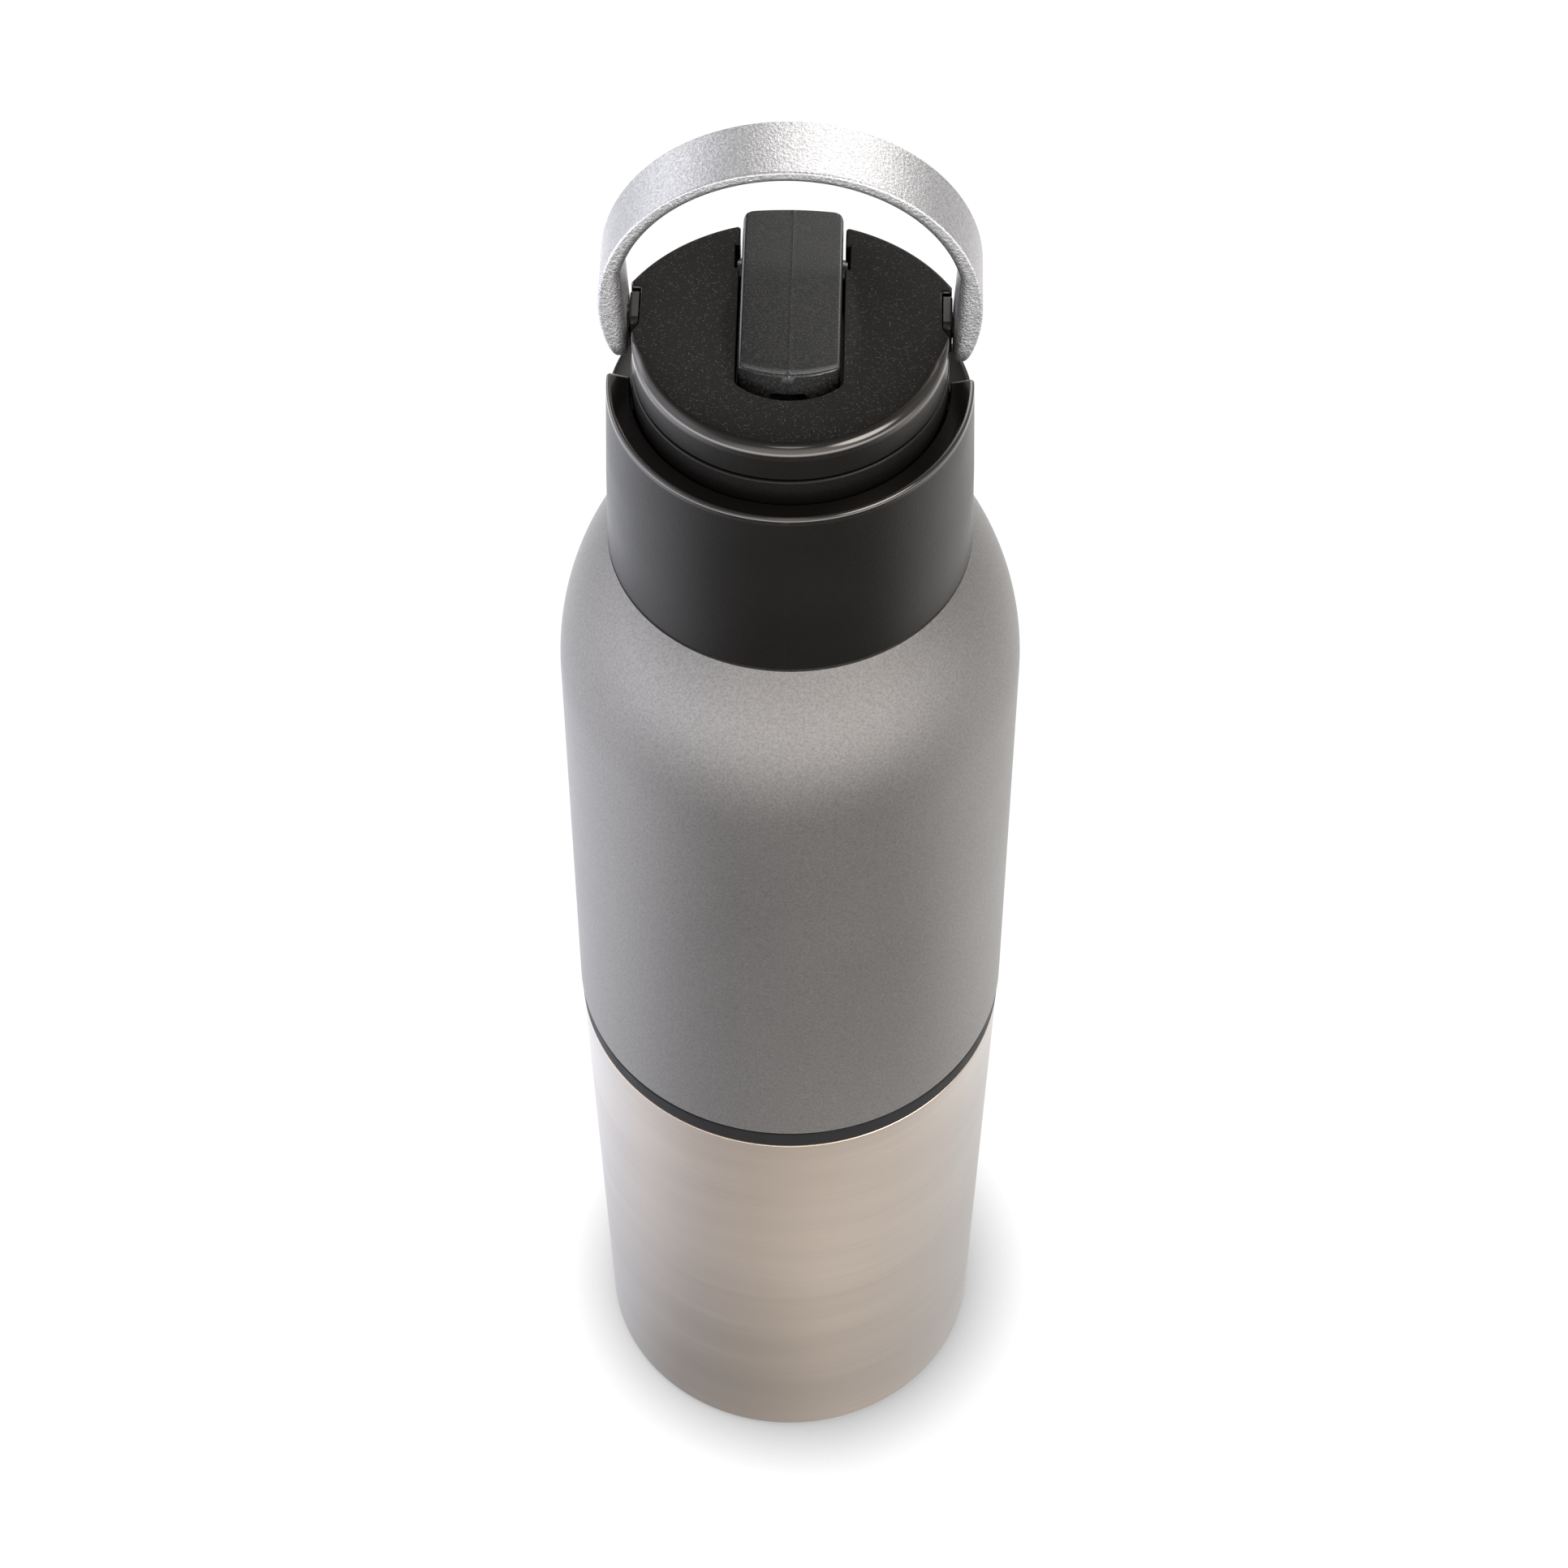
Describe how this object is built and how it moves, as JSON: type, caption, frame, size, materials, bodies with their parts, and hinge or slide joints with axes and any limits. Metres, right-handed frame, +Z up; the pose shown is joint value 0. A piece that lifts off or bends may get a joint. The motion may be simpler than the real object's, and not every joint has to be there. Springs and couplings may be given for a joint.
{
  "type": "insulated water bottle with cup base",
  "caption": "Slim steel bottle that stands in a steel cup, with a black screw lid, flip-up drinking spout, straw and swinging silver carry handle.",
  "frame": {"origin": "centre of the cup's foot, on the table", "axes": "+Z up along the bottle, -Y towards the drinking side, +X to the right of someone who looks at the drinking side"},
  "size_m": [0.073, 0.073, 0.2966],
  "materials": {
    "bare_steel": "fine brushed, warm tone",
    "grey_paint": "satin metallic powder coat",
    "black_plastic": "fine-grained moulded, glossy on edges",
    "spout_plastic": "fine matte texture",
    "black_silicone": "smooth matte silicone",
    "clear_plastic": "translucent, smooth",
    "silver_paint": "textured silver with fine sparkle",
    "seal_pellet": "dull solder"
  },
  "bodies": {
    "cup": {"cup_outer_shell": "bare_steel", "cup_inner_liner": "bare_steel", "cup_base_plate": "bare_steel", "cup_vacuum_seal": "seal_pellet"},
    "bottle": {"bottle_outer_shell": "grey_paint", "bottle_inner_liner": "bare_steel", "bottle_base_plate": "bare_steel", "bottle_vacuum_seal": "seal_pellet", "cup_grip_ring": "black_silicone"},
    "lid_ring": {"lid_gasket": "black_silicone"},
    "lid": {"lid_collar": "black_plastic", "lid_core": "black_plastic", "lid_top_cap": "black_plastic", "spout_seal": "black_silicone", "air_vent_valve": "black_silicone", "straw": "clear_plastic", "handle_pin_left": "black_plastic", "handle_pin_right": "black_plastic"},
    "spout": {"flip_spout": "spout_plastic"},
    "handle": {"handle": "silver_paint"}
  },
  "joints": [
    {"name": "bottle_lift", "type": "slide", "parent": "cup", "child": "bottle", "axis": [0, 0, 1], "range_m": [0, 0.1]},
    {"name": "lid_rise", "type": "slide", "parent": "bottle", "child": "lid_ring", "axis": [0, 0, 1], "range_m": [0, 0.00401]},
    {"name": "lid_unscrew", "type": "hinge", "parent": "lid_ring", "child": "lid", "pos_m": [0, 0, 0.2436], "axis": [0, 0, 1], "range_deg": [0, 360]},
    {"name": "spout_flip", "type": "hinge", "parent": "lid", "child": "spout", "pos_m": [0, 0.0152, 0.2607], "axis": [-1, 0, 0], "range_deg": [0, 90]},
    {"name": "handle_swing", "type": "hinge", "parent": "lid", "child": "handle", "pos_m": [0, 0.005, 0.261], "axis": [-1, 0, 0], "range_deg": [-90, 100]}
  ],
  "couplings": [
    {"joint": "lid_rise", "follows": "lid_unscrew", "m_per_rad": 0.00063662}
  ]
}
